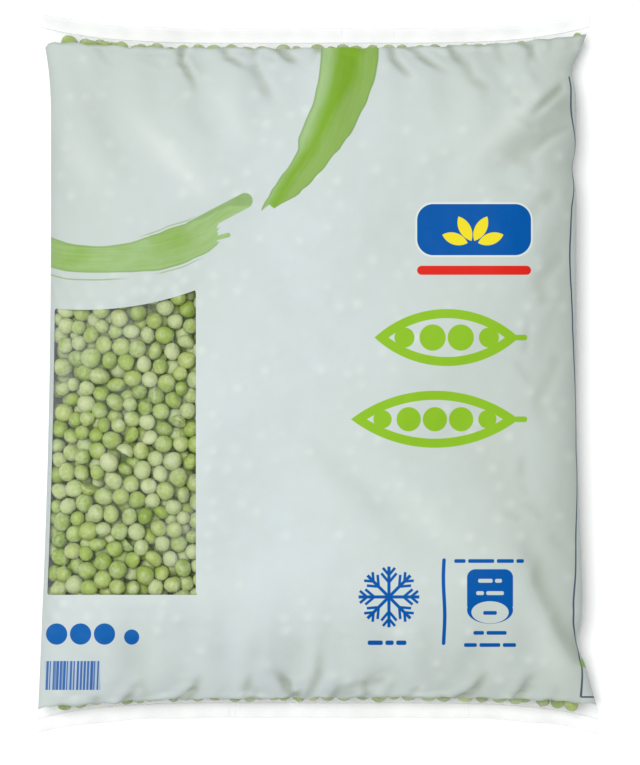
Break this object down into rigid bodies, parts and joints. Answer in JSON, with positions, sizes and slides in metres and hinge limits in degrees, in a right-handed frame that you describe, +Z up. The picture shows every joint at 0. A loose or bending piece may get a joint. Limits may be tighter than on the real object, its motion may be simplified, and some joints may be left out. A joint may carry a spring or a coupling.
{
  "type": "frozen pea bag",
  "caption": "Filled pillow bag of frozen peas in pale printed film with a clear window, lying on its back, sealed across the top and bottom ends.",
  "frame": {"origin": "middle of the flat patch that the bag rests on, under the middle of its outline", "axes": "+Z up out of the printed front, +Y towards the top of the front, +X to the right seen from above"},
  "size_m": [0.296, 0.381, 0.0532],
  "materials": {
    "printed_film": "pale grey-green printed film, satin",
    "clear_film": "clear film, slightly milky",
    "peas": "frozen garden peas, frosted"
  },
  "bodies": {
    "root": {"pea_bag": "printed_film"}
  },
  "joints": []
}
